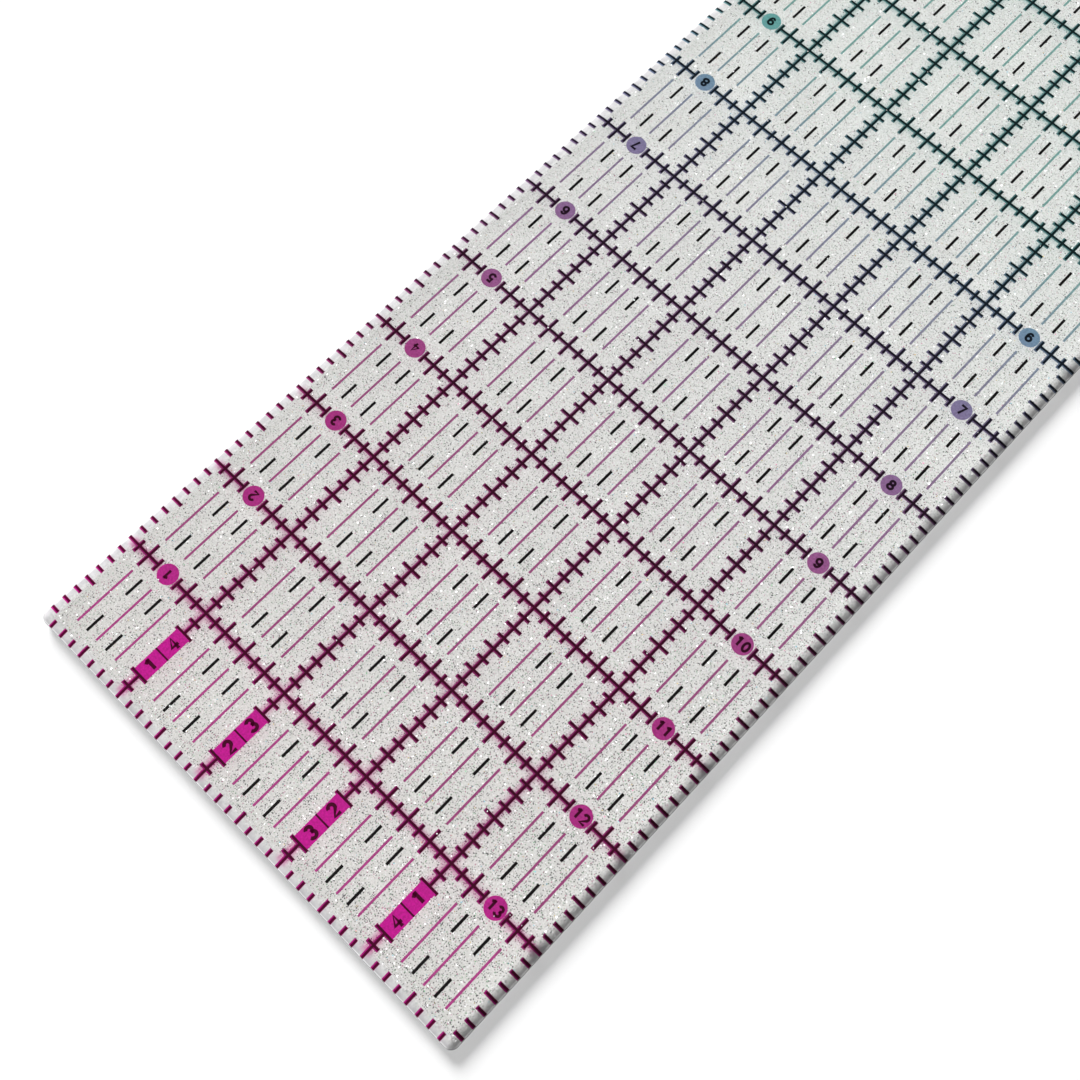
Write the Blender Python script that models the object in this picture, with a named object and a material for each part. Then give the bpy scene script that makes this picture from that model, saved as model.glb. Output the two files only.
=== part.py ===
"""Quilting ruler: a 5 inch by 14 inch acrylic sheet, printed with a 1 inch grid.

The origin is at the centre of the underside. +X runs across the ruler, +Y along it and +Z up.
"""

import bmesh
import bpy

INCH = 0.0254

# Printed grid, in whole inches, and the margin of sheet outside it on every side
WIDTH_IN = 5
LENGTH_IN = 14
GRID_MARGIN = 0.0005

# Sheet
WIDTH = WIDTH_IN * INCH + 2 * GRID_MARGIN
LENGTH = LENGTH_IN * INCH + 2 * GRID_MARGIN
SHEET_THICKNESS = 0.0030
CORNER_RADIUS = 0.0020
CORNER_SEGMENTS = 6
BEVEL_WIDTH = 0.0019
BEVEL_DROP = 0.00042
BOTTOM_EDGE_RADIUS = 0.0004
BOTTOM_EDGE_SEGMENTS = 2

# Ink: each layer is INK_THICKNESS deep, with LAYER_GAP under it
INK_THICKNESS = 0.00003
LAYER_GAP = 0.00002
COLOUR_LINE_WIDTH = 0.00093
BLACK_LINE_WIDTH = 0.00055
PRINT_MARGIN = BEVEL_WIDTH + 0.0001

# Number discs, centred half an inch in from the grid's long sides on every crosswise inch line
DISC_DIAMETER = 0.0050
DISC_SEGMENTS = 28
DISC_INSET = 0.5

# Label boxes, centred half an inch in from the grid's short sides on every lengthwise inch line
BOX_LENGTH = 0.5 * INCH
BOX_WIDTH = 0.0040
BOX_INSET = 0.5

# Colours, as linear RGB
SHEET_COLOUR = (0.67, 0.68, 0.65)
BLACK_INK = (0.010, 0.008, 0.009)
BRIGHT_MAGENTA = (0.520, 0.012, 0.265)
MAGENTA = (0.355, 0.033, 0.196)
PURPLE = (0.243, 0.127, 0.268)
LAVENDER = (0.204, 0.172, 0.303)
BLUE = (0.159, 0.251, 0.356)
TEAL = (0.123, 0.337, 0.322)

# Where along the grid, in inches from its near end, the coloured ink has each colour
INK_STOPS = (
    (0.6, BRIGHT_MAGENTA),
    (3.0, MAGENTA),
    (6.0, PURPLE),
    (7.0, LAVENDER),
    (8.0, BLUE),
    (9.0, TEAL),
)

SHEET_ROUGHNESS = 0.12
SHEET_ALPHA = 0.55
INK_ROUGHNESS = 0.35


def clear_scene():
    for obj in list(bpy.data.objects):
        bpy.data.objects.remove(obj, do_unlink=True)


def mix(first, second, share):
    return tuple(a + (b - a) * share for a, b in zip(first, second))


def ink_colour(inches):
    """The coloured ink's colour at a distance from the grid's near end."""
    if inches <= INK_STOPS[0][0]:
        return INK_STOPS[0][1]
    for (start, before), (end, after) in zip(INK_STOPS, INK_STOPS[1:]):
        if inches <= end:
            return mix(before, after, (inches - start) / (end - start))
    return INK_STOPS[-1][1]


def make_material(name, colour, roughness, alpha=1.0):
    material = bpy.data.materials.new(name)
    material.use_nodes = True
    shader = material.node_tree.nodes["Principled BSDF"]
    shader.inputs["Base Color"].default_value = (*colour, 1.0)
    shader.inputs["Roughness"].default_value = roughness
    shader.inputs["Metallic"].default_value = 0.0
    shader.inputs["Alpha"].default_value = alpha
    material.diffuse_color = (*colour, alpha)
    return material


def make_object(name, shape, material, location=(0, 0, 0)):
    bmesh.ops.recalc_face_normals(shape, faces=shape.faces)
    mesh = bpy.data.meshes.new(name)
    shape.to_mesh(mesh)
    shape.free()
    mesh.materials.append(material)
    obj = bpy.data.objects.new(name, mesh)
    obj.location = location
    bpy.context.scene.collection.objects.link(obj)
    return obj


def along_grid(inches):
    """The Y position of a distance from the grid's near end."""
    return (inches - LENGTH_IN / 2) * INCH


def across_grid(inches):
    """The X position of a distance from the grid's left side."""
    return (inches - WIDTH_IN / 2) * INCH


def layer_base(layer):
    """The height of the underside of ink layer 0, 1 or 2."""
    return SHEET_THICKNESS + LAYER_GAP + layer * (INK_THICKNESS + LAYER_GAP)


def raise_faces(shape, height):
    """Extrudes every flat face straight up, into one closed prism."""
    made = bmesh.ops.extrude_face_region(shape, geom=shape.faces[:])
    top = [item for item in made["geom"] if isinstance(item, bmesh.types.BMVert)]
    bmesh.ops.translate(shape, verts=top, vec=(0, 0, height))


def is_upright(edge):
    start, end = (vert.co for vert in edge.verts)
    return abs(start.z - end.z) > SHEET_THICKNESS / 2


def edges_at(shape, height):
    """The edges of the outline at one height."""
    tolerance = 1e-6
    return [
        edge
        for edge in shape.edges
        if all(abs(vert.co.z - height) < tolerance for vert in edge.verts)
    ]


def round_edges(shape, edges, radius, segments):
    bmesh.ops.bevel(
        shape,
        geom=edges,
        offset=radius,
        offset_type="OFFSET",
        segments=segments,
        profile=0.5,
        affect="EDGES",
        clamp_overlap=True,
    )


def slope_top(shape, width, drop):
    """Raises the top face by the drop and draws it in by the width, which leaves a shallow bevel."""
    top = max(shape.faces, key=lambda face: face.calc_center_median().z)
    bmesh.ops.inset_individual(shape, faces=[top], thickness=width, depth=drop, use_even_offset=True)


def make_sheet():
    """The sheet: square to the eye, with small round corners and a shallow bevel round its face."""
    side_height = SHEET_THICKNESS - BEVEL_DROP
    shape = bmesh.new()
    bmesh.ops.create_cube(shape, size=1.0)
    bmesh.ops.scale(shape, verts=shape.verts, vec=(WIDTH, LENGTH, side_height))
    bmesh.ops.translate(shape, verts=shape.verts, vec=(0, 0, side_height / 2))
    upright = [edge for edge in shape.edges if is_upright(edge)]
    round_edges(shape, upright, CORNER_RADIUS, CORNER_SEGMENTS)
    round_edges(shape, edges_at(shape, 0.0), BOTTOM_EDGE_RADIUS, BOTTOM_EDGE_SEGMENTS)
    bmesh.ops.recalc_face_normals(shape, faces=shape.faces)
    slope_top(shape, BEVEL_WIDTH, BEVEL_DROP)
    material = make_material("clear_acrylic", SHEET_COLOUR, SHEET_ROUGHNESS, SHEET_ALPHA)
    sheet = make_object("acrylic_sheet", shape, material)
    sheet.data.shade_smooth()
    sheet.data.set_sharp_from_angle(angle=0.15)
    return sheet


def line_breaks(positions, low, high, width):
    """The low end, both sides of every line, and the high end, in order."""
    breaks = [low]
    for position in positions:
        breaks += [position - width / 2, position + width / 2]
    return breaks + [high]


def make_line_net(name, layer, width, material):
    """The inch lines both ways, as one connected net of strips."""
    across = [across_grid(inch) for inch in range(1, WIDTH_IN)]
    along = [along_grid(inch) for inch in range(1, LENGTH_IN)]
    reach_x = WIDTH / 2 - PRINT_MARGIN
    reach_y = LENGTH / 2 - PRINT_MARGIN
    xs = line_breaks(across, -reach_x, reach_x, width)
    ys = line_breaks(along, -reach_y, reach_y, width)
    shape = bmesh.new()
    corners = {}

    def corner(i, j):
        if (i, j) not in corners:
            corners[i, j] = shape.verts.new((xs[i], ys[j], 0))
        return corners[i, j]

    for i in range(len(xs) - 1):
        for j in range(len(ys) - 1):
            on_line = i % 2 == 1 or j % 2 == 1
            if on_line:
                loop = (corner(i, j), corner(i + 1, j), corner(i + 1, j + 1), corner(i, j + 1))
                shape.faces.new(loop)
    raise_faces(shape, INK_THICKNESS)
    return make_object(name, shape, material, (0, 0, layer_base(layer)))


def make_disc(name, x, y, colour):
    shape = bmesh.new()
    bmesh.ops.create_circle(
        shape, cap_ends=True, segments=DISC_SEGMENTS, radius=DISC_DIAMETER / 2
    )
    raise_faces(shape, INK_THICKNESS)
    material = make_material(name + "_ink", colour, INK_ROUGHNESS)
    return make_object(name, shape, material, (x, y, layer_base(2)))


def make_box(name, x, y, colour):
    shape = bmesh.new()
    half_width, half_length = BOX_WIDTH / 2, BOX_LENGTH / 2
    signs = ((-1, -1), (1, -1), (1, 1), (-1, 1))
    shape.faces.new([shape.verts.new((a * half_width, b * half_length, 0)) for a, b in signs])
    raise_faces(shape, INK_THICKNESS)
    material = make_material(name + "_ink", colour, INK_ROUGHNESS)
    return make_object(name, shape, material, (x, y, layer_base(2)))


def make_discs():
    """Two rows of discs. The left row counts up from the near end, the right row from the far end."""
    x = across_grid(WIDTH_IN - DISC_INSET)
    for inch in range(1, LENGTH_IN):
        y = along_grid(inch)
        colour = ink_colour(inch)
        make_disc(f"number_disc_left_{inch:02d}", -x, y, colour)
        make_disc(f"number_disc_right_{LENGTH_IN - inch:02d}", x, y, colour)


def make_boxes():
    """A box on each lengthwise line, close to both short ends."""
    ends = {"near": BOX_INSET, "far": LENGTH_IN - BOX_INSET}
    for end, distance in ends.items():
        y = along_grid(distance)
        colour = ink_colour(distance)
        for inch in range(1, WIDTH_IN):
            make_box(f"label_box_{end}_{inch}", across_grid(inch), y, colour)


def make_lines():
    coloured = make_material("coloured_line_ink", ink_colour(LENGTH_IN / 2), INK_ROUGHNESS)
    black = make_material("black_line_ink", BLACK_INK, INK_ROUGHNESS)
    make_line_net("colour_line_print", 0, COLOUR_LINE_WIDTH, coloured)
    make_line_net("black_line_print", 1, BLACK_LINE_WIDTH, black)


def main():
    clear_scene()
    make_sheet()
    make_lines()
    make_discs()
    make_boxes()


main()
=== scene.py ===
"""Looks of the quilting ruler: glitter acrylic, two-pass print, numerals, floor, light and camera.

Everything is in metres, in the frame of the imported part. +X runs across the ruler, +Y along it from the
magenta near end to the teal far end, and +Z up out of the printed face.
"""

import math

import bpy
import numpy as np
from mathutils import Euler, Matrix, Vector


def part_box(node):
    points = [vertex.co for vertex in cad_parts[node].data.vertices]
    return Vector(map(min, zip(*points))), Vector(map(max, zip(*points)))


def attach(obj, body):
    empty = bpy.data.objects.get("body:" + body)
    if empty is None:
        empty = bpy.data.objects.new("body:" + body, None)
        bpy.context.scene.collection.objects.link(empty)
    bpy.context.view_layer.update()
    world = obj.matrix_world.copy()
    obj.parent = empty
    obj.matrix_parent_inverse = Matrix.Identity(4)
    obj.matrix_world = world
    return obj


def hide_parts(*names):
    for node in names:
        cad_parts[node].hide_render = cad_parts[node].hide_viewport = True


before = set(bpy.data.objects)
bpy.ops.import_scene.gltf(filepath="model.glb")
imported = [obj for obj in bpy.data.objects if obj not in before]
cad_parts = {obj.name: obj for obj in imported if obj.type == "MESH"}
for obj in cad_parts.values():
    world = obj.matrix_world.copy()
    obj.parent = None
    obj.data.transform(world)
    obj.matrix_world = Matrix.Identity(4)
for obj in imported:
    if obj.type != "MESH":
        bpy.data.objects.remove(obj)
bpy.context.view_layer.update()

MM = 0.001
INCH = 0.0254
SEED = 20

# The printed grid, in inches
WIDTH_IN = 5
LENGTH_IN = 14

# Sheet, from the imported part. It stands a little outside the grid on every side
LOW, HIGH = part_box("acrylic_sheet")
WIDTH = HIGH.x - LOW.x
LENGTH = HIGH.y - LOW.y
THICKNESS = HIGH.z - LOW.z
CORNER_RADIUS = 2.0 * MM
CORNER_STEPS = 12
SHARPEST_CORNER = 0.02 * MM
BOTTOM_RADIUS = 0.4 * MM
BOTTOM_STEPS = 5
UNDERSIDE_TOP = 0.1 * MM

# How far from a bend its extra ring of vertices is, which keeps the flat stretch beside it flat when smooth
SUPPORT = 0.06 * MM

# The shallow bevel round the printed face, with a soft crown at its top and a small rim at its foot
BEVEL_WIDTH = 1.9 * MM
BEVEL_DROP = 0.42 * MM
BEVEL_SLOPE = math.atan(BEVEL_DROP / BEVEL_WIDTH)
CROWN_RADIUS = 12.0 * MM
CROWN_TANGENT = CROWN_RADIUS * math.tan(BEVEL_SLOPE / 2)
CROWN_INSET = BEVEL_WIDTH + CROWN_TANGENT
CROWN_STEPS = 8
RIM_RADIUS = 0.2 * MM
RIM_STEPS = 6

# Print: how thick the ink is, and how high each layer of it lies over the face
INK = 0.03 * MM
COLOUR_LAYER = 0.02 * MM
BLACK_LAYER = 0.07 * MM
LABEL_LAYER = 0.17 * MM

# Places on the face are rounded to so many decimals of a metre, and this close they are the same place
PLACE_DECIMALS = 7
SAME_PLACE = 0.6 * 10**-PLACE_DECIMALS

# Widths of the printed lines, and how far the coloured stripes are shifted from their black cores
COLOUR_WIDTH = 0.93 * MM
BLACK_WIDTH = 0.55 * MM
THIN_WIDTH = 0.55 * MM
DASH_WIDTH = 0.66 * MM
DIVIDER_WIDTH = 0.40 * MM
MISREGISTER = 0.13 * MM

# Number discs, in inches: how far in they are from the long sides, and the gap that lines leave for them
DISC_INSET = 0.5
DISC_GAP = 0.125

# Label boxes, in inches from a short side: their ends, their divider and the middles of their two numbers
BOX_START = 0.25
BOX_END = 0.75
BOX_MIDDLE = 0.5
BOX_NUMBERS = (3 / 8, 5 / 8)

# Half lengths of the ticks, in inches, for odd eighths, quarters and halves. The edge ticks have theirs
# from the grid's end inwards. A black core is shorter than its coloured stripe by the trim
LENGTHWISE_TICKS = (0.066, 0.087, 0.106)
CROSSWISE_TICKS = (0.067, 0.1265, 0.1265)
LONG_EDGE_TICKS = (0.080, 0.080, 0.115)
SHORT_EDGE_TICKS = (0.067, 0.078, 0.115)
BOX_TICK = 0.097
CORE_TRIM = 0.008

# Guide lines in every one inch cell, in inches
THIN_OFFSETS = (0.25, 0.5, 0.75)
THIN_SPAN = (3 / 16, 13 / 16)
DASH_OFFSETS = (3 / 8, 5 / 8)
DASH_SPANS = ((3 / 16, 3 / 8), (5 / 8, 13 / 16))

# Numerals: sizes on the ruler
DISC_DIGIT_HEIGHT = 2.5 * MM
BOX_DIGIT_HEIGHT = 3.15 * MM
DISC_DIGIT_STROKE = 0.60 * MM
BOX_DIGIT_STROKE = 0.80 * MM
DIGIT_ADVANCE = 2.0 * MM

# Numerals: the box that the digits are drawn in, and how their strokes are made
DIGIT_WIDTH = 0.54
DIGIT_TOP = 0.85
ARC_STEPS = 14
ELLIPSE_STEPS = 24
CLOSED_GAP = 1e-6
SHARPEST_MITRE = 0.45

# Glitter flakes. A positive lean makes them scarcer towards the right side or the far end
FLAKE_THICKNESS = 0.012 * MM
FLAKE_CLEARANCE = 0.30 * MM
FLAKE_RISE = 0.16 * MM
FLAKE_SQUEEZE = (0.6, 1.0)
FLAKE_TILT = 0.25
LEAN_ACROSS = -0.7
LEAN_ALONG = 0.6
INSIDE = (0.4 * MM, THICKNESS - FLAKE_RISE)
ON_TOP = (THICKNESS + 0.203 * MM, THICKNESS + 0.206 * MM)

# Name, count, smallest and largest size, lowest and highest place, tilt, and look
GLITTER = (
    ("dark_1", 9000, (0.20 * MM, 0.40 * MM), INSIDE, FLAKE_TILT, "dark"),
    ("dark_2", 9000, (0.20 * MM, 0.40 * MM), INSIDE, FLAKE_TILT, "dark"),
    ("tinted", 6000, (0.18 * MM, 0.34 * MM), INSIDE, FLAKE_TILT, "tinted"),
    ("bright", 6000, (0.22 * MM, 0.46 * MM), INSIDE, FLAKE_TILT, "bright"),
    # The surface flakes are white glitter over the print and, in part, painted highlights for the glints on
    # the lines
    ("surface", 500, (0.20 * MM, 0.42 * MM), ON_TOP, 0.0, "bright"),
)

# Colours, metallic value and roughness
FLAKE_LOOKS = {
    "dark": (((0.010, 0.010, 0.012), (0.03, 0.028, 0.03), (0.08, 0.08, 0.08)), 0.0, 0.5),
    "tinted": (((0.55, 0.12, 0.28), (0.10, 0.42, 0.18), (0.12, 0.40, 0.50), (0.48, 0.34, 0.10)), 0.3, 0.35),
    "bright": (((1.0, 1.0, 1.0), (0.95, 1.0, 0.98), (1.0, 0.96, 1.0)), 0.0, 0.3),
}

# Noise in the materials: where most of its values lie, and its scales in cells per metre
NOISE_RANGE = (0.3, 0.7)
ACRYLIC_GRAIN = 2400.0
EDGE_STREAKS = 420.0
ACRYLIC_HAZE = 140.0
PEARL_GRAIN = 2600.0
PEARL_CLOUDING = 55.0
PEARL_TINTING = 1700.0
INK_FILM = 1900.0
INK_WEAR = 600.0
FLOOR_GRAIN = 40.0

# Below, a tuple of pairs is a ramp: places in a noise, or shares of the grid's length from the near end,
# with the tone or colour there. Colours are linear RGB

# Ink: its colours, by distance from the near end in inches
INK_STOPS = (
    (0.6, (0.520, 0.012, 0.265)),
    (1.2, (0.400, 0.026, 0.212)),
    (3.0, (0.355, 0.033, 0.196)),
    (4.0, (0.322, 0.054, 0.208)),
    (6.0, (0.243, 0.127, 0.268)),
    (7.0, (0.204, 0.172, 0.303)),
    (8.0, (0.159, 0.251, 0.356)),
    (9.0, (0.123, 0.337, 0.322)),
)
INK_MOTTLE = ((0.32, 0.80), (0.68, 1.20))
INK_ROUGHNESS = (0.38, 0.55)
INK_IOR = 1.45
INK_SPECULAR = 0.15
INK_BUMP = (0.3, 0.01 * MM)
BLACK = (0.004, 0.0035, 0.0035)
BLACK_WORN = (0.009, 0.007, 0.008)

# How the black over the wide lines dulls their colour, and how much colour shows through their cores
WIDE_LINE_DULLED = (0.55, 0.50, 0.52)
CORE_SHOWS = ((0.2, (0.115, 0.05, 0.07)), (0.6, (0.03, 0.04, 0.045)))

# How full the ink of the quarter-inch lines is. It turns a little greyer towards the far end
THIN_LINE_WHITE = 0.05
THIN_LINE_STRENGTH = (
    (0.1, 0.70),
    (0.4, 0.85),
    (0.5, (0.90, 0.85, 0.76)),
    (0.57, (1.02, 0.90, 0.82)),
    (0.64, (1.12, 0.91, 0.86)),
)

# Acrylic. How far the surface leans from level (as a sine) tells the flat face from the bevel and the wall
FACE_LEAN = 0.005
EDGE_LEAN = 0.200
WALL_LEAN = 0.600
FACE_ALPHA = 0.14
# The bevel's grey, its near-opaque cover and the darker wall are painted shade for the dark look that
# refraction gives a clear acrylic edge; the pale rim is painted light for what shows through it
EDGE_ALPHA = 0.90
FACE_TONES = ((0.30, 0.62), (0.52, 0.86), (0.68, 1.0))
EDGE_TONES = ((0.30, (0.35, 0.345, 0.355)), (0.70, (0.50, 0.49, 0.50)))
WALL_SHADE = 0.18
RIM_WIDTH = 0.45 * MM
RIM_PALE = (0.70, 0.70, 0.71)
ACRYLIC_ROUGHNESS = (0.12, 0.24)
ACRYLIC_IOR = 1.49
ACRYLIC_BUMP = (0.25, 0.02 * MM)

# The painted shade of the grid print in the face, a soft shadow in the ink's colour: its fade by distance
# in inches, its strength along the grid, how far it is shifted, and how strong it is where the face has
# taken the ink's full colour
PRINT_SHADE_FADE = ((0.016, 0.50), (0.034, 0.33), (0.06, 0.10), (0.10, 0.0))
PRINT_SHADE_ALONG = ((0.0, 1.0), (0.33, 0.28), (0.53, 0.28), (0.66, 0.60), (0.78, 0.75))
PRINT_SHADE_SHIFT = 0.30 * MM
PRINT_SHADE_FULL = 0.3

# The milky layer
PEARL_TONES = ((0.30, (0.65, 0.66, 0.63)), (0.50, (0.865, 0.87, 0.845)), (0.66, (0.96, 0.96, 0.955)))
PEARL_CLOUDS = ((0.3, 0.955), (0.7, 1.0))
# Darker and a little yellower towards the near end
PEARL_ALONG_TONES = ((0.0, (0.905, 0.895, 0.875)), (0.3, (0.925, 0.925, 0.915)), (0.65, (0.985, 1.0, 0.99)))
PEARL_SHIMMER = 0.16
PEARL_ROUGHNESS = (0.35, 0.55)
PEARL_ALPHA = (0.84, 0.90)
PEARL_IOR = 1.45

# Its specks: spacing, radius, share of the places that hold one, strength and colour
PEARL_SPECKS = (
    (0.44 * MM, 0.115 * MM, 0.34, 0.90, (0.03, 0.035, 0.03)),
    (0.60 * MM, 0.14 * MM, 0.16, 0.75, (0.06, 0.26, 0.10)),
    (0.66 * MM, 0.14 * MM, 0.12, 0.75, (0.42, 0.07, 0.20)),
    (0.70 * MM, 0.16 * MM, 0.22, 0.85, (1.0, 1.0, 1.0)),
)

# Smallest and largest speck, and where its soft edge starts and ends, as shares of the radius
SPECK_SIZES = (0.75, 1.25)
SPECK_EDGE = (0.8, 1.2)

# How strong the specks are at the left and right sides, and from the near end to a share of the length
SPECKS_ACROSS = (0.75, 1.1)
SPECKS_ALONG = (1.0, 0.55)
SPECKS_THINNED = 0.7

# Light. Levels are irradiance on a level surface, where 1 shows a white surface as white
SKY = ((0.0, 1.0), (0.35, 0.42), (0.75, 0.10))
OVERHEAD = (0.25, -0.10, 1.0)
SLANTING = (-1.20, 0.58, 0.80)
STEEP = (-0.20, -0.15, 1.0)
RAKING = (-1.18, -0.46, 0.15)

# Name, direction, level, spread in degrees, whether it lights the floor or the ruler, and whether it casts
# shadows and shows in gloss
LIGHTS = (
    ("floor_overhead", OVERHEAD, 0.35, 22, "floor", True),
    ("floor_side", SLANTING, 0.58, 28, "floor", True),
    ("ruler_overhead", STEEP, 0.09, 24, "ruler", True),
    ("ruler_side", RAKING, 0.70, 10, "ruler", False),
)

# Floor: half its side in metres, how far it lies under the ruler, and its finish
FLOOR_HALF = 4.0
FLOOR_DROP = 0.15 * MM
FLOOR_TONES = ((0.3, 0.90), (0.7, 0.93))
FLOOR_ROUGHNESS = 0.9

# Camera: lens and sensor in millimetres, place in metres, and turn about X, Y and Z in degrees
CAMERA_LENS = 41.037
CAMERA_SENSOR = 36.0
CAMERA_PLACE = (0.05891, -0.14672, 0.26503)
CAMERA_TURN = (16.987, 0.156, 44.014)
CAMERA_CLIP = (0.01, 20.0)


def linked(obj):
    bpy.context.scene.collection.objects.link(obj)
    return obj


def mesh_object(name, vertices, faces, smooth=False):
    mesh = bpy.data.meshes.new(name)
    mesh.from_pydata(vertices, [], faces)
    mesh.update()
    if smooth:
        mesh.shade_smooth()
    return linked(bpy.data.objects.new(name, mesh))


def dressed(obj, slot, *materials):
    """Gives a piece its materials and lets it ride with the ruler. The slot argument is not used."""
    obj.data.materials.clear()
    for material in materials:
        obj.data.materials.append(material)
    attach(obj, "root")
    return obj


# ---------------------------------------------------------------- materials


class Nodes:
    """A short way to write a material's nodes."""

    def __init__(self, name):
        self.material = bpy.data.materials.new(name)
        self.material.use_nodes = True
        self.tree = self.material.node_tree
        self.shader = self.tree.nodes["Principled BSDF"]
        coordinates = self.add("ShaderNodeTexCoord")
        self.place = coordinates.outputs["Object"]
        self.facing = coordinates.outputs["Normal"]

    def add(self, kind, **settings):
        node = self.tree.nodes.new(kind)
        for key, value in settings.items():
            setattr(node, key, value)
        return node

    def link(self, source, target):
        self.tree.links.new(source, target)

    def noise(self, scale, detail=2.0, roughness=0.5):
        node = self.add("ShaderNodeTexNoise")
        self.link(self.place, node.inputs["Vector"])
        node.inputs["Scale"].default_value = scale
        node.inputs["Detail"].default_value = detail
        node.inputs["Roughness"].default_value = roughness
        return node

    def specks(self, spacing, radius, share):
        """A mask of round specks, spread over the XY plane. Only a share of the cells holds one."""
        node = self.add("ShaderNodeTexVoronoi", voronoi_dimensions="2D")
        self.link(self.place, node.inputs["Vector"])
        node.inputs["Scale"].default_value = 1 / spacing
        chance = self.add("ShaderNodeSeparateColor")
        self.link(node.outputs["Color"], chance.inputs["Color"])
        spread = self.remap(chance.outputs["Green"], 0.0, 1.0, *SPECK_SIZES)
        distance = self.math("DIVIDE", node.outputs["Distance"], spread)
        inner, outer = (limit * radius / spacing for limit in SPECK_EDGE)
        spot = self.remap(distance, inner, outer, 1.0, 0.0)
        return self.math("MULTIPLY", spot, self.math("LESS_THAN", chance.outputs["Red"], share))

    def ramp(self, source, stops, interpolation="LINEAR"):
        node = self.add("ShaderNodeValToRGB")
        node.color_ramp.interpolation = interpolation
        while len(node.color_ramp.elements) > 1:
            node.color_ramp.elements.remove(node.color_ramp.elements[-1])
        for index, (position, colour) in enumerate(stops):
            if index == 0:
                element = node.color_ramp.elements[0]
                element.position = position
            else:
                element = node.color_ramp.elements.new(position)
            element.color = (*colour, 1.0) if hasattr(colour, "__len__") else (colour,) * 3 + (1.0,)
        self.link(source, node.inputs["Fac"])
        return node.outputs["Color"]

    def remap(self, source, low, high, to_low, to_high):
        node = self.add("ShaderNodeMapRange")
        self.link(source, node.inputs["Value"])
        node.inputs["From Min"].default_value = low
        node.inputs["From Max"].default_value = high
        node.inputs["To Min"].default_value = to_low
        node.inputs["To Max"].default_value = to_high
        return node.outputs["Result"]

    def math(self, operation, first, second=0.0):
        node = self.add("ShaderNodeMath", operation=operation)
        for socket, value in zip(node.inputs, (first, second)):
            if isinstance(value, (int, float)):
                socket.default_value = value
            else:
                self.link(value, socket)
        return node.outputs["Value"]

    def mix(self, factor, first, second, blend="MIX"):
        """Mixes two colours. The Mix node keeps its colour sockets at these numbers."""
        node = self.add("ShaderNodeMix", data_type="RGBA", blend_type=blend)
        factor_in, first_in, second_in = node.inputs[0], node.inputs[6], node.inputs[7]
        for socket, value in ((factor_in, factor), (first_in, first), (second_in, second)):
            if isinstance(value, (int, float)):
                socket.default_value = value
            elif isinstance(value, tuple):
                socket.default_value = (*value, 1.0)
            else:
                self.link(value, socket)
        return node.outputs[2]

    def bump(self, height, strength, distance):
        node = self.add("ShaderNodeBump")
        node.inputs["Strength"].default_value = strength
        node.inputs["Distance"].default_value = distance
        self.link(height, node.inputs["Height"])
        self.link(node.outputs["Normal"], self.shader.inputs["Normal"])

    def set(self, **values):
        for key, value in values.items():
            self.shader.inputs[key.replace("_", " ")].default_value = value

    def axes(self, source):
        """The X, Y and Z of a vector, as separate outputs."""
        split = self.add("ShaderNodeSeparateXYZ")
        self.link(source, split.inputs["Vector"])
        return split.outputs

    def along(self):
        """How far along the grid a point is: 0 at the near end and 1 at the far end."""
        half = LENGTH_IN / 2 * INCH
        return self.remap(self.axes(self.place)["Y"], -half, half, 0.0, 1.0)

    def ink_gradient(self):
        """The coloured ink's colour along the grid."""
        stops = [(inches / LENGTH_IN, colour) for inches, colour in INK_STOPS]
        return self.ramp(self.along(), stops)


def print_glow(nodes):
    """Where the face gets painted shade in the ink's colour, for the soft shadow of the grid print: a mask
    that fades away from the inch lines.

    From the grid's middle, the lengthwise lines are at odd halves of an inch and the crosswise ones at
    whole inches. Past the outermost lines, the distance to those still counts.
    """
    place = nodes.axes(nodes.place)
    x = nodes.math("DIVIDE", nodes.math("ADD", place["X"], PRINT_SHADE_SHIFT), INCH)
    y = nodes.math("DIVIDE", nodes.math("ADD", place["Y"], PRINT_SHADE_SHIFT), INCH)
    to_long_line = nodes.math("PINGPONG", nodes.math("ADD", x, 0.5), 0.5)
    past_long_line = nodes.math("SUBTRACT", nodes.math("ABSOLUTE", x), WIDTH_IN / 2 - 1)
    to_cross_line = nodes.math("PINGPONG", y, 0.5)
    past_cross_line = nodes.math("SUBTRACT", nodes.math("ABSOLUTE", y), LENGTH_IN / 2 - 1)
    from_long_line = nodes.math("MAXIMUM", to_long_line, past_long_line)
    from_cross_line = nodes.math("MAXIMUM", to_cross_line, past_cross_line)
    near = nodes.ramp(nodes.math("MINIMUM", from_long_line, from_cross_line), PRINT_SHADE_FADE)
    return nodes.math("MULTIPLY", near, nodes.ramp(nodes.along(), PRINT_SHADE_ALONG))


def rim_mask(nodes):
    """The last fraction of a millimetre before the outline, where the bevel's painted grey gives way to a
    pale colour, painted light for what shows through the thin clear rim.
    """
    place = nodes.axes(nodes.place)
    past_x = nodes.math("SUBTRACT", nodes.math("ABSOLUTE", place["X"]), WIDTH / 2)
    past_y = nodes.math("SUBTRACT", nodes.math("ABSOLUTE", place["Y"]), LENGTH / 2)
    past = nodes.math("MAXIMUM", past_x, past_y)
    return nodes.remap(past, -RIM_WIDTH, -RIM_WIDTH / 3, 0.0, 1.0)


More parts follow.
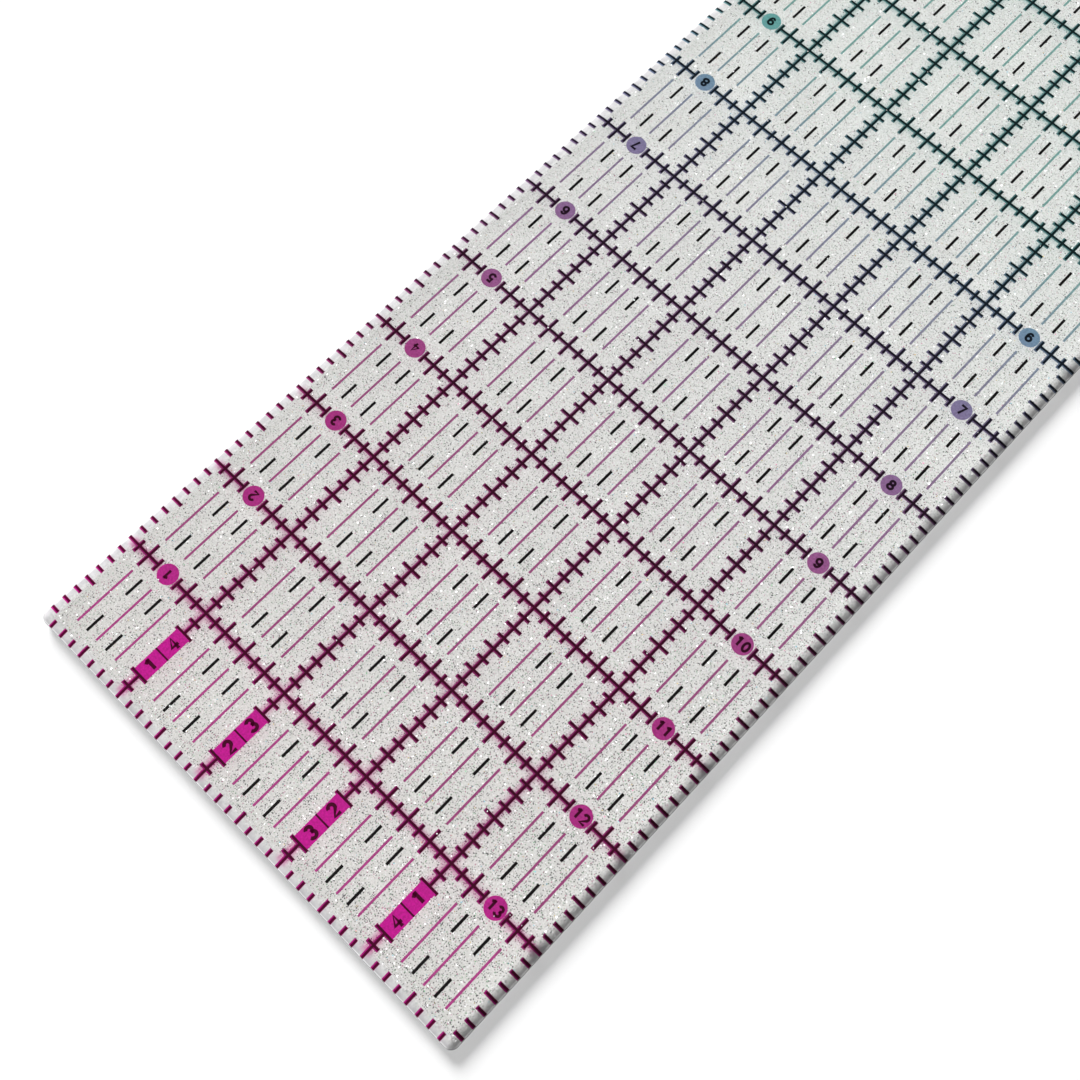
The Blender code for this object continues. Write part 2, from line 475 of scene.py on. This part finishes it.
def clear_acrylic_material():
    """Clear acrylic: see-through where it lies flat, grey and nearly opaque on the bevel, which is painted
    shade.

    Round the inch lines the face takes painted shade in the ink's colour, for the soft tinted shadow of the
    print.
    """
    nodes = Nodes("clear_acrylic_look")
    level = nodes.axes(nodes.facing)["Z"]
    upright = nodes.math("MULTIPLY", level, level)
    lean = nodes.math("SQRT", nodes.math("SUBTRACT", 1.0, upright))
    edge = nodes.remap(lean, FACE_LEAN, EDGE_LEAN, 0.0, 1.0)
    grain = nodes.noise(ACRYLIC_GRAIN, 2.0, 0.6)
    streaks = nodes.noise(EDGE_STREAKS, 3.0, 0.65)
    face = nodes.ramp(grain.outputs["Fac"], FACE_TONES)
    # Painted shade on the bevel: grey for the dark look of a clear acrylic edge, pale at the rim as painted
    # light, and darker on the wall
    edge_shade = nodes.ramp(streaks.outputs["Fac"], EDGE_TONES)
    edge_shade = nodes.mix(rim_mask(nodes), edge_shade, RIM_PALE)
    wall = nodes.remap(lean, EDGE_LEAN, WALL_LEAN, 0.0, 1.0)
    edge_shade = nodes.mix(1.0, edge_shade, nodes.remap(wall, 0.0, 1.0, 1.0, WALL_SHADE), "MULTIPLY")
    # Painted shade: round the inch lines the face turns towards the ink's colour and grows less clear, for
    # the print's soft tinted shadow
    tinted_shade = nodes.math("MULTIPLY", print_glow(nodes), nodes.math("SUBTRACT", 1.0, wall))
    face = nodes.mix(nodes.remap(tinted_shade, 0.0, PRINT_SHADE_FULL, 0.0, 1.0), face, nodes.ink_gradient())
    nodes.link(nodes.mix(edge, face, edge_shade), nodes.shader.inputs["Base Color"])
    cover = nodes.math("ADD", nodes.remap(edge, 0.0, 1.0, FACE_ALPHA, EDGE_ALPHA), tinted_shade)
    nodes.link(nodes.math("MINIMUM", cover, 1.0), nodes.shader.inputs["Alpha"])
    haze = nodes.noise(ACRYLIC_HAZE, 3.0).outputs["Fac"]
    nodes.link(nodes.remap(haze, *NOISE_RANGE, *ACRYLIC_ROUGHNESS), nodes.shader.inputs["Roughness"])
    nodes.bump(grain.outputs["Fac"], *ACRYLIC_BUMP)
    nodes.set(IOR=ACRYLIC_IOR)
    return nodes.material


def pearl_material():
    """The milky layer at the underside of the acrylic, full of fine glitter grain."""
    nodes = Nodes("pearl_underside_look")
    grain = nodes.noise(PEARL_GRAIN, 2.0, 0.6)
    tone = nodes.ramp(grain.outputs["Fac"], PEARL_TONES)
    clouds = nodes.noise(PEARL_CLOUDING, 3.0, 0.6)
    cloudy = nodes.ramp(clouds.outputs["Fac"], PEARL_CLOUDS)
    tone = nodes.mix(1.0, tone, cloudy, "MULTIPLY")
    tint = nodes.noise(PEARL_TINTING, 1.0)
    tone = nodes.mix(PEARL_SHIMMER, tone, tint.outputs["Color"], "OVERLAY")
    tone = nodes.mix(1.0, tone, nodes.ramp(nodes.along(), PEARL_ALONG_TONES), "MULTIPLY")
    sideways = nodes.remap(nodes.axes(nodes.place)["X"], LOW.x, HIGH.x, *SPECKS_ACROSS)
    lengthways = nodes.remap(nodes.along(), 0.0, SPECKS_THINNED, *SPECKS_ALONG)
    density = nodes.math("MULTIPLY", sideways, lengthways)
    for spacing, radius, share, strength, colour in PEARL_SPECKS:
        speck = nodes.math("MULTIPLY", nodes.specks(spacing, radius, share), strength)
        mask = nodes.math("MULTIPLY", speck, density)
        tone = nodes.mix(mask, tone, colour)
    nodes.link(tone, nodes.shader.inputs["Base Color"])
    roughness = nodes.remap(grain.outputs["Fac"], *NOISE_RANGE, *PEARL_ROUGHNESS)
    nodes.link(roughness, nodes.shader.inputs["Roughness"])
    cover = nodes.remap(clouds.outputs["Fac"], *NOISE_RANGE, *PEARL_ALPHA)
    nodes.link(cover, nodes.shader.inputs["Alpha"])
    nodes.set(IOR=PEARL_IOR)
    return nodes.material


def ink_finish(nodes, colour):
    """What both inks share: a dry, faintly mottled film with a low gloss."""
    film = nodes.noise(INK_FILM, 3.0, 0.6)
    mottle = nodes.ramp(film.outputs["Fac"], INK_MOTTLE)
    nodes.link(nodes.mix(1.0, colour, mottle, "MULTIPLY"), nodes.shader.inputs["Base Color"])
    roughness = nodes.remap(film.outputs["Fac"], *NOISE_RANGE, *INK_ROUGHNESS)
    nodes.link(roughness, nodes.shader.inputs["Roughness"])
    nodes.bump(film.outputs["Fac"], *INK_BUMP)
    nodes.set(IOR=INK_IOR, Specular_IOR_Level=INK_SPECULAR)
    return nodes.material


def coloured_ink_material():
    nodes = Nodes("coloured_ink_look")
    return ink_finish(nodes, nodes.ink_gradient())


def thin_line_material():
    """The ink of the quarter-inch lines, which is weaker at the near end."""
    nodes = Nodes("thin_line_ink_look")
    strength = nodes.ramp(nodes.along(), THIN_LINE_STRENGTH)
    darker = nodes.mix(1.0, nodes.ink_gradient(), strength, "MULTIPLY")
    return ink_finish(nodes, nodes.mix(THIN_LINE_WHITE, darker, (1.0, 1.0, 1.0)))


def wide_line_material():
    """The coloured stripe under the black core, dulled by the black that was printed over it."""
    nodes = Nodes("wide_line_ink_look")
    darker = nodes.mix(1.0, nodes.ink_gradient(), WIDE_LINE_DULLED, "MULTIPLY")
    return ink_finish(nodes, darker)


def core_ink_material():
    """Black printed over the coloured ink, which still shows through a little."""
    nodes = Nodes("core_ink_look")
    shows = nodes.ramp(nodes.along(), CORE_SHOWS)
    return ink_finish(nodes, nodes.mix(1.0, nodes.ink_gradient(), shows, "MULTIPLY"))


def black_ink_material():
    nodes = Nodes("black_ink_look")
    film = nodes.noise(INK_WEAR, 2.0)
    tone = nodes.mix(film.outputs["Fac"], BLACK, BLACK_WORN)
    return ink_finish(nodes, tone)


def flake_material(name, colours, metallic, roughness):
    """Glitter film: each flake takes its own colour."""
    nodes = Nodes(name)
    island = nodes.add("ShaderNodeNewGeometry").outputs["Random Per Island"]
    steps = [(index / len(colours), colour) for index, colour in enumerate(colours)]
    nodes.link(nodes.ramp(island, steps, "CONSTANT"), nodes.shader.inputs["Base Color"])
    nodes.set(Metallic=metallic, Roughness=roughness)
    return nodes.material


# ---------------------------------------------------------------- sheet


def outline(inset, height):
    """One ring of the sheet's rounded outline, anticlockwise."""
    radius = max(CORNER_RADIUS - inset, SHARPEST_CORNER)
    half_x = WIDTH / 2 - inset - radius
    half_y = LENGTH / 2 - inset - radius
    ring = []
    for quarter, (side_x, side_y) in enumerate(((1, 1), (-1, 1), (-1, -1), (1, -1))):
        for step in range(CORNER_STEPS + 1):
            angle = (quarter + step / CORNER_STEPS) * math.pi / 2
            x = side_x * half_x + radius * math.cos(angle)
            y = side_y * half_y + radius * math.sin(angle)
            ring.append((x, y, height))
    return ring


def edge_profile():
    """(inset, height) pairs up the sheet's edge, from the underside to the printed face."""
    profile = [(BOTTOM_RADIUS + SUPPORT, 0.0)]
    for step in range(BOTTOM_STEPS + 1):
        angle = step / BOTTOM_STEPS * math.pi / 2
        profile.append((BOTTOM_RADIUS * (1 - math.sin(angle)), BOTTOM_RADIUS * (1 - math.cos(angle))))
    rim_end = math.pi / 2 - BEVEL_SLOPE
    rim_inset = RIM_RADIUS * (1 - math.cos(rim_end))
    rim_top = THICKNESS - (BEVEL_WIDTH - rim_inset) * math.tan(BEVEL_SLOPE)
    rim_centre = rim_top - RIM_RADIUS * math.sin(rim_end)
    for step in range(RIM_STEPS + 1):
        angle = step / RIM_STEPS * rim_end
        profile.append((RIM_RADIUS * (1 - math.cos(angle)), rim_centre + RIM_RADIUS * math.sin(angle)))
    profile.append((rim_inset + SUPPORT, rim_top + SUPPORT * math.tan(BEVEL_SLOPE)))
    for step in range(CROWN_STEPS + 1):
        angle = BEVEL_SLOPE * (1 - step / CROWN_STEPS)
        inset = CROWN_INSET - CROWN_RADIUS * math.sin(angle)
        profile.append((inset, THICKNESS - CROWN_RADIUS * (1 - math.cos(angle))))
    profile.append((CROWN_INSET + SUPPORT, THICKNESS))
    return profile


def make_sheet():
    rings = [outline(inset, height) for inset, height in edge_profile()]
    count = len(rings[0])
    vertices = [point for ring in rings for point in ring]
    faces = []
    for level in range(len(rings) - 1):
        base = level * count
        for index in range(count):
            after = (index + 1) % count
            faces.append((base + index, base + after, base + count + after, base + count + index))
    faces.append(tuple(reversed(range(count))))
    faces.append(tuple(range((len(rings) - 1) * count, len(rings) * count)))
    sheet = mesh_object("glitter_acrylic_sheet", vertices, faces, smooth=True)
    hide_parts("acrylic_sheet")
    dressed(sheet, "glitter_acrylic", clear_acrylic_material(), pearl_material())
    for face in sheet.data.polygons:
        if face.center.z < UNDERSIDE_TOP:
            face.material_index = 1


# ---------------------------------------------------------------- print


def bent(distance, half):
    """Along one axis of the printed face: (position, drop, lean) where it turns down onto the bevel."""
    over = abs(distance) - (half - CROWN_INSET)
    if over <= 0:
        return distance, 0.0, 0.0
    angle = min(over / CROWN_RADIUS, BEVEL_SLOPE)
    straight = over - CROWN_RADIUS * angle
    run = CROWN_RADIUS * math.sin(angle) + straight * math.cos(angle)
    drop = CROWN_RADIUS * (1 - math.cos(angle)) + straight * math.sin(angle)
    side = math.copysign(1.0, distance)
    return side * (half - CROWN_INSET + run), drop, side * angle


def on_face(u, v, lift):
    """The point at that lift over the printed face, which follows the bevel."""
    x, drop_x, lean_x = bent(u, WIDTH / 2)
    y, drop_y, lean_y = bent(v, LENGTH / 2)
    x += lift * math.sin(lean_x)
    y += lift * math.sin(lean_y)
    z = THICKNESS - drop_x - drop_y + lift * math.cos(lean_x) * math.cos(lean_y)
    return x, y, z


def reach(half):
    """How far a mark runs, measured along the bevel as far as the rim."""
    flat = half - CROWN_INSET
    arc_length = CROWN_RADIUS * BEVEL_SLOPE
    run = CROWN_INSET - CROWN_RADIUS * math.sin(BEVEL_SLOPE) - RIM_RADIUS
    return flat + arc_length + run / math.cos(BEVEL_SLOPE)


def edge_cuts(half):
    """Where a mark needs an extra cross edge, to follow the crown of the bevel."""
    start = half - CROWN_INSET
    arc_length = CROWN_RADIUS * BEVEL_SLOPE
    crown = [start + arc_length * step / CROWN_STEPS for step in range(CROWN_STEPS + 1)]
    return crown + [-cut for cut in crown]


def cuts(values, extra, limit):
    """All distinct cut positions, in order, to a tenth of a micron."""
    rounded = sorted({round(value, PLACE_DECIMALS) for value in list(values) + extra})
    return [value for value in rounded if abs(value) <= limit + SAME_PLACE]


def ink_film(name, marks, lift):
    """One closed film of ink that covers a list of rectangles (u0, u1, v0, v1) on the printed face."""
    us = cuts([u for mark in marks for u in mark[:2]], edge_cuts(WIDTH / 2), reach(WIDTH / 2))
    vs = cuts([v for mark in marks for v in mark[2:]], edge_cuts(LENGTH / 2), reach(LENGTH / 2))
    covered = np.zeros((len(us) + 1, len(vs) + 1), bool)
    for u0, u1, v0, v1 in marks:
        i0, i1 = np.searchsorted(us, (u0 - SAME_PLACE, u1 - SAME_PLACE))
        j0, j1 = np.searchsorted(vs, (v0 - SAME_PLACE, v1 - SAME_PLACE))
        covered[i0:i1, j0:j1] = True
    # Past the last cut there are no cells, only an empty border for the outermost ones to look at
    covered[-2:, :] = False
    covered[:, -2:] = False
    vertices, faces, known = [], [], {}

    def corner(i, j, top):
        if (i, j, top) not in known:
            known[i, j, top] = len(vertices)
            vertices.append(on_face(us[i], vs[j], lift + INK * top))
        return known[i, j, top]

    for i, j in np.argwhere(covered):
        i, j = int(i), int(j)
        ring = ((i, j), (i + 1, j), (i + 1, j + 1), (i, j + 1))
        beside = ((i, j - 1), (i + 1, j), (i, j + 1), (i - 1, j))
        faces.append([corner(a, b, 1) for a, b in ring])
        faces.append([corner(a, b, 0) for a, b in reversed(ring)])
        for (start, end), cell in zip(zip(ring, ring[1:] + ring[:1]), beside):
            if not covered[cell]:
                faces.append(
                    [corner(*start, 0), corner(*end, 0), corner(*end, 1), corner(*start, 1)]
                )
    return mesh_object(name, vertices, faces)


def across(inches):
    """The X position of a distance from the grid's left side."""
    return (inches - WIDTH_IN / 2) * INCH


def along(inches):
    """The Y position of a distance from the grid's near end."""
    return (inches - LENGTH_IN / 2) * INCH


def tick_length(eighths, lengths):
    """The half length of the tick at that many eighths of an inch."""
    if eighths % 4 == 0:
        return lengths[2]
    return lengths[1] if eighths % 2 == 0 else lengths[0]


def in_box(eighths, total):
    """Whether a lengthwise tick falls on a label box at either end."""
    near = min(eighths, total - eighths)
    return BOX_START * 8 <= near <= BOX_END * 8


def lengthwise_lines(half, trim):
    """The inch lines that run along the ruler, with their ticks. They leave out the label boxes."""
    marks = []
    end = reach(LENGTH / 2)
    near = (along(BOX_START), along(BOX_END))
    far = (along(LENGTH_IN - BOX_END), along(LENGTH_IN - BOX_START))
    total = LENGTH_IN * 8
    for inch in range(1, WIDTH_IN):
        u = across(inch)
        for v0, v1 in ((-end, near[0]), (near[1], far[0]), (far[1], end)):
            marks.append((u - half, u + half, v0, v1))
        for eighth in range(1, total):
            if eighth % 8 and not in_box(eighth, total):
                tick = (tick_length(eighth, LENGTHWISE_TICKS) - trim) * INCH
                v = along(eighth / 8)
                marks.append((u - tick, u + tick, v - half, v + half))
    return marks


def box_end_ticks(half, trim):
    """A tick at both ends of every label box."""
    marks = []
    for inch in range(1, WIDTH_IN):
        for place in (BOX_START, BOX_END, LENGTH_IN - BOX_END, LENGTH_IN - BOX_START):
            tick = (BOX_TICK - trim) * INCH
            u, v = across(inch), along(place)
            marks.append((u - tick, u + tick, v - half, v + half))
    return marks


def crosswise_lines(half, trim):
    """The inch lines that run across the ruler, with their ticks. They stop short of the number discs."""
    marks = []
    end = reach(WIDTH / 2)
    discs = (DISC_INSET, WIDTH_IN - DISC_INSET)
    stops = [across(place + side) for place in discs for side in (-DISC_GAP, DISC_GAP)]
    disc_eighths = [place * 8 for place in discs]
    for inch in range(1, LENGTH_IN):
        v = along(inch)
        for u0, u1 in ((-end, stops[0]), (stops[1], stops[2]), (stops[3], end)):
            marks.append((u0, u1, v - half, v + half))
        for eighth in range(1, WIDTH_IN * 8):
            if eighth % 8 and eighth not in disc_eighths:
                tick = (tick_length(eighth, CROSSWISE_TICKS) - trim) * INCH
                u = across(eighth / 8)
                marks.append((u - half, u + half, v - tick, v + tick))
    return marks


def edge_ticks(half, trim):
    """The scale along all four edges. Every tick runs out over the bevel."""
    marks = []
    end_u, end_v = reach(WIDTH / 2), reach(LENGTH / 2)
    for eighth in range(1, LENGTH_IN * 8):
        if eighth % 8:
            v = along(eighth / 8)
            inner = -across(tick_length(eighth, LONG_EDGE_TICKS) - trim)
            marks.append((-end_u, -inner, v - half, v + half))
            marks.append((inner, end_u, v - half, v + half))
    for eighth in range(1, WIDTH_IN * 8):
        if eighth % 8:
            u = across(eighth / 8)
            inner = -along(tick_length(eighth, SHORT_EDGE_TICKS) - trim)
            marks.append((u - half, u + half, -end_v, -inner))
            marks.append((u - half, u + half, inner, end_v))
    return marks


def moved(marks, shift):
    """The marks moved towards the left and near edges. Those that end at the rim still end there."""
    end_u, end_v = reach(WIDTH / 2), reach(LENGTH / 2)
    result = []
    for u0, u1, v0, v1 in marks:
        u0, u1 = (u if abs(u) >= end_u else u - shift for u in (u0, u1))
        v0, v1 = (v if abs(v) >= end_v else v - shift for v in (v0, v1))
        result.append((u0, u1, v0, v1))
    return result


def all_lines(width, trim):
    half = width / 2
    return lengthwise_lines(half, trim) + crosswise_lines(half, trim) + edge_ticks(half, trim)


def cell_marks(offsets, spans, width):
    """The same lengthwise marks in every one inch cell."""
    marks = []
    for column in range(WIDTH_IN):
        for row in range(LENGTH_IN):
            for offset in offsets:
                u = across(column + offset)
                for start, end in spans:
                    marks.append((u - width / 2, u + width / 2, along(row + start), along(row + end)))
    return marks


def make_lines(wide, thin, core, black):
    stripes = all_lines(COLOUR_WIDTH, 0.0) + box_end_ticks(COLOUR_WIDTH / 2, 0.0)
    piece = ink_film("inch_lines_coloured", moved(stripes, MISREGISTER), COLOUR_LAYER)
    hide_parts("colour_line_print")
    dressed(piece, "coloured_line_ink", wide)
    piece = ink_film("inch_lines_black", all_lines(BLACK_WIDTH, CORE_TRIM), BLACK_LAYER)
    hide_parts("black_line_print")
    dressed(piece, "black_ink", core)
    piece = ink_film("quarter_inch_lines", cell_marks(THIN_OFFSETS, (THIN_SPAN,), THIN_WIDTH), COLOUR_LAYER)
    dressed(piece, "coloured_line_ink", thin)
    piece = ink_film("eighth_inch_dashes", cell_marks(DASH_OFFSETS, DASH_SPANS, DASH_WIDTH), COLOUR_LAYER)
    dressed(piece, "black_ink", black)


# ---------------------------------------------------------------- numerals


def arc(centre, radii, start, end, steps=ARC_STEPS):
    """Points on an ellipse from one angle to another, in degrees."""
    angles = [math.radians(start + (end - start) * step / steps) for step in range(steps + 1)]
    return [(centre[0] + radii[0] * math.cos(a), centre[1] + radii[1] * math.sin(a)) for a in angles]


def ellipse(centre, radii):
    return arc(centre, radii, 0, 360, ELLIPSE_STEPS)


def six():
    """A closed bowl, with a hook over it."""
    bowl = ellipse((0.27, 0.27), (0.25, 0.25))
    hook = arc((0.27, 0.47), (0.25, 0.38), 185, 35)
    return [bowl, [(0.022, 0.27)] + hook]


def turned(strokes):
    """The strokes turned half a turn in their box."""
    return [[(DIGIT_WIDTH - x, DIGIT_TOP - y) for x, y in stroke] for stroke in strokes]


# Centrelines of the digits' strokes, in a box DIGIT_WIDTH wide and DIGIT_TOP high
DIGITS = {
    "0": [ellipse((0.27, 0.425), (0.25, 0.425))],
    "1": [[(0.32, 0.0), (0.32, 0.92)], [(0.06, 0.66), (0.32, 0.84)]],
    "2": [arc((0.27, 0.60), (0.24, 0.25), 170, -35) + [(0.02, 0.0), (0.54, 0.0)]],
    "3": [
        arc((0.26, 0.64), (0.22, 0.21), 160, -90),
        arc((0.26, 0.22), (0.26, 0.22), 90, -165),
    ],
    "4": [[(0.38, -0.07), (0.38, 0.85), (0.0, 0.24), (0.58, 0.24)]],
    "5": [[(0.50, 0.85), (0.12, 0.85), (0.06, 0.43)] + arc((0.26, 0.27), (0.26, 0.27), 130, -155)],
    "6": six(),
    "7": [[(0.0, 0.85), (0.53, 0.85), (0.20, -0.07)]],
    "8": [ellipse((0.27, 0.645), (0.21, 0.205)), ellipse((0.27, 0.22), (0.26, 0.22))],
    "9": turned(six()),
}


def ribbon(points, width):
    """The two sides of a stroke of constant width along a line of points."""
    closed = math.dist(points[0], points[-1]) < CLOSED_GAP
    if closed:
        points = points[:-1]
    count = len(points)
    left, right = [], []
    for index, (x, y) in enumerate(points):
        before = points[index - 1] if index or closed else None
        after = points[(index + 1) % count] if index < count - 1 or closed else None
        normals = []
        for start, end in ((before, (x, y)), ((x, y), after)):
            if start is not None and end is not None:
                span = math.dist(start, end)
                normals.append(((start[1] - end[1]) / span, (end[0] - start[0]) / span))
        nx = sum(n[0] for n in normals) / len(normals)
        ny = sum(n[1] for n in normals) / len(normals)
        stretch = width / 2 / max(nx * nx + ny * ny, SHARPEST_MITRE)
        left.append((x + nx * stretch, y + ny * stretch))
        right.append((x - nx * stretch, y - ny * stretch))
    return left, right, closed


def stroke_solid(points, width, place, vertices, faces):
    """Adds one stroke as a closed film to a mesh under construction."""
    left, right, closed = ribbon(points, width)
    count = len(left)
    base = len(vertices)
    for side in (left, right):
        for top in (0, 1):
            vertices.extend(place(x, y, top) for x, y in side)
    left_low, left_top, right_low, right_top = (base + count * i for i in range(4))
    spans = range(count) if closed else range(count - 1)
    for i in spans:
        j = (i + 1) % count
        faces.append((right_top + i, right_top + j, left_top + j, left_top + i))
        faces.append((left_low + i, left_low + j, right_low + j, right_low + i))
        faces.append((left_top + i, left_top + j, left_low + j, left_low + i))
        faces.append((right_low + i, right_low + j, right_top + j, right_top + i))
    if not closed:
        last = count - 1
        faces.append((right_low, right_top, left_top, left_low))
        faces.append((left_low + last, left_top + last, right_top + last, right_low + last))


def write(text, height, weight, centre, reading, vertices, faces):
    """Adds a number, centred on a point and read along a direction, to a mesh under construction."""
    up = (-reading[1], reading[0])
    start = -DIGIT_ADVANCE * (len(text) - 1) / 2
    for index, digit in enumerate(text):
        offset = start + index * DIGIT_ADVANCE

        def place(x, y, top, offset=offset):
            a = offset + (x - DIGIT_WIDTH / 2) * height
            b = (y - DIGIT_TOP / 2) * height
            px = centre[0] + a * reading[0] + b * up[0]
            py = centre[1] + a * reading[1] + b * up[1]
            return px, py, THICKNESS + LABEL_LAYER + INK * top

        for stroke in DIGITS[digit]:
            stroke_solid(stroke, weight / height, place, vertices, faces)


def make_disc_numbers(material):
    rows = {"left": (DISC_INSET, (-1, 0)), "right": (WIDTH_IN - DISC_INSET, (1, 0))}
    for row, (inset, reading) in rows.items():
        vertices, faces = [], []
        for number in range(1, LENGTH_IN):
            inch = number if row == "left" else LENGTH_IN - number
            centre = (across(inset), along(inch))
            write(str(number), DISC_DIGIT_HEIGHT, DISC_DIGIT_STROKE, centre, reading, vertices, faces)
        dressed(mesh_object(f"disc_numbers_{row}", vertices, faces), "black_ink", material)


def make_box_numbers(material):
    ends = {"near": (0, 1, (0, 1)), "far": (LENGTH_IN, -1, (0, -1))}
    for end, (edge, inward, reading) in ends.items():
        vertices, faces = [], []
        for inch in range(1, WIDTH_IN):
            first = inch if end == "near" else WIDTH_IN - inch
            for number, distance in zip((first, WIDTH_IN - first), BOX_NUMBERS):
                centre = (across(inch), along(edge + inward * distance))
                write(str(number), BOX_DIGIT_HEIGHT, BOX_DIGIT_STROKE, centre, reading, vertices, faces)
        dressed(mesh_object(f"box_numbers_{end}", vertices, faces), "black_ink", material)


def make_box_marks(material):
    """The divider in the middle of each label box, and the black core of its end ticks."""
    marks = box_end_ticks(BLACK_WIDTH / 2, CORE_TRIM / 2)
    low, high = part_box("label_box_near_1")
    half_width = (high.x - low.x) / 2
    for inch in range(1, WIDTH_IN):
        for place in (BOX_MIDDLE, LENGTH_IN - BOX_MIDDLE):
            u, v = across(inch), along(place)
            marks.append((u - half_width, u + half_width, v - DIVIDER_WIDTH / 2, v + DIVIDER_WIDTH / 2))
    dressed(ink_film("box_marks", marks, LABEL_LAYER), "black_ink", material)


# ---------------------------------------------------------------- glitter


def bevel_inset(height):
    """How far in from the outline the bevel is at a height."""
    return np.clip((height - THICKNESS + BEVEL_DROP) / BEVEL_DROP, 0, 1) * BEVEL_WIDTH


def leaning(random, count, lean):
    """Numbers from -1 to 1. A positive lean makes them scarcer towards 1, a negative one more common."""
    share = random.uniform(0, 1, count)
    return 2 * (1 - np.sqrt(1 - 2 * lean * (1 - lean / 2) * share)) / lean - 1


def make_flakes(name, count, sizes, heights, tilt, material, random):
    """Thin hexagonal flakes scattered in or on the sheet."""
    z = random.uniform(*heights, count)
    inset = bevel_inset(z + FLAKE_RISE) + FLAKE_CLEARANCE
    x = leaning(random, count, LEAN_ACROSS) * (WIDTH / 2 - inset)
    y = leaning(random, count, LEAN_ALONG) * (LENGTH / 2 - inset)
    radius = random.uniform(*sizes, count) / 2
    squeeze = random.uniform(*FLAKE_SQUEEZE, count)
    turn = random.uniform(0, math.pi, count)
    tilt_x, tilt_y = random.normal(0, tilt, (2, count))
    corners = np.arange(6) * math.pi / 3
    a = radius[:, None] * np.cos(corners)
    b = (radius * squeeze)[:, None] * np.sin(corners)
    cosine, sine = np.cos(turn)[:, None], np.sin(turn)[:, None]
    dx, dy = a * cosine - b * sine, a * sine + b * cosine
    dz = dx * tilt_x[:, None] + dy * tilt_y[:, None]
    low = np.stack((x[:, None] + dx, y[:, None] + dy, z[:, None] + dz), axis=-1)
    high = low + (0, 0, FLAKE_THICKNESS)
    vertices = np.concatenate((low, high), axis=1).reshape(-1, 3)
    sides = [(i, (i + 1) % 6, 6 + (i + 1) % 6, 6 + i) for i in range(6)]
    pattern = [tuple(range(5, -1, -1)), tuple(range(6, 12)), *sides]
    faces = [tuple(12 * flake + i for i in face) for flake in range(count) for face in pattern]
    return dressed(mesh_object(name, vertices.tolist(), faces), "glitter_acrylic", material)


def make_glitter():
    random = np.random.default_rng(SEED)
    looks = {
        kind: flake_material(kind + "_flake_look", colours, metallic, roughness)
        for kind, (colours, metallic, roughness) in FLAKE_LOOKS.items()
    }
    for name, count, sizes, heights, tilt, kind in GLITTER:
        make_flakes("glitter_" + name, count, sizes, heights, tilt, looks[kind], random)


# ---------------------------------------------------------------- stage


def make_floor():
    signs = ((-1, -1), (1, -1), (1, 1), (-1, 1))
    floor = mesh_object("floor", [(a * FLOOR_HALF, b * FLOOR_HALF, 0) for a, b in signs], [(0, 1, 2, 3)])
    floor.location.z = -FLOOR_DROP
    nodes = Nodes("floor_look")
    grain = nodes.noise(FLOOR_GRAIN, 4.0)
    nodes.link(nodes.ramp(grain.outputs["Fac"], FLOOR_TONES), nodes.shader.inputs["Base Color"])
    nodes.set(Roughness=FLOOR_ROUGHNESS, Specular_IOR_Level=0.0)
    floor.data.materials.append(nodes.material)
    return floor


def make_world():
    """White all round at the horizon and dimmer overhead, so that low views keep a white background."""
    world = bpy.data.worlds.new("studio")
    world.use_nodes = True
    tree = world.node_tree
    place = tree.nodes.new("ShaderNodeTexCoord")
    split = tree.nodes.new("ShaderNodeSeparateXYZ")
    ramp = tree.nodes.new("ShaderNodeValToRGB")
    tree.links.new(place.outputs["Generated"], split.inputs["Vector"])
    tree.links.new(split.outputs["Z"], ramp.inputs["Fac"])
    tree.links.new(ramp.outputs["Color"], tree.nodes["Background"].inputs["Color"])
    ramp.color_ramp.elements.new(SKY[1][0])
    for element, (height, level) in zip(ramp.color_ramp.elements, SKY):
        element.position = height
        element.color = (level, level, level, 1.0)
    bpy.context.scene.world = world


def make_sun(name, direction, level, spread):
    direction = Vector(direction).normalized()
    data = bpy.data.lights.new(name, "SUN")
    data.energy = math.pi * level / direction.z
    data.angle = math.radians(spread)
    sun = linked(bpy.data.objects.new(name, data))
    sun.rotation_mode = "QUATERNION"
    sun.rotation_quaternion = direction.to_track_quat("Z", "Y")
    return sun


def make_lights(floor):
    """Soft light from above and from the side. The floor and the ruler each have their own pair."""
    for name, direction, level, spread, target, full in LIGHTS:
        sun = make_sun(name, direction, level, spread)
        sun.data.use_shadow = full
        sun.visible_glossy = full
        receivers = bpy.data.collections.new(name + "_receivers")
        receivers.objects.link(floor)
        state = "INCLUDE" if target == "floor" else "EXCLUDE"
        receivers.collection_objects[0].light_linking.link_state = state
        sun.light_linking.receiver_collection = receivers


def make_camera():
    data = bpy.data.cameras.new("camera")
    data.lens = CAMERA_LENS
    data.sensor_width = CAMERA_SENSOR
    data.clip_start, data.clip_end = CAMERA_CLIP
    camera = linked(bpy.data.objects.new("camera", data))
    camera.location = CAMERA_PLACE
    camera.rotation_euler = Euler([math.radians(angle) for angle in CAMERA_TURN])
    bpy.context.scene.camera = camera


def main():
    coloured = coloured_ink_material()
    black = black_ink_material()
    core = core_ink_material()
    make_sheet()
    make_glitter()
    make_lines(wide_line_material(), thin_line_material(), core, black)
    make_disc_numbers(core)
    make_box_numbers(core)
    make_box_marks(core)
    for name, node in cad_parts.items():
        if name.startswith(("number_disc", "label_box")):
            node.data.materials.clear()
            node.data.materials.append(coloured)
    make_world()
    make_lights(make_floor())
    make_camera()
    bpy.context.scene.view_settings.view_transform = "Standard"


main()
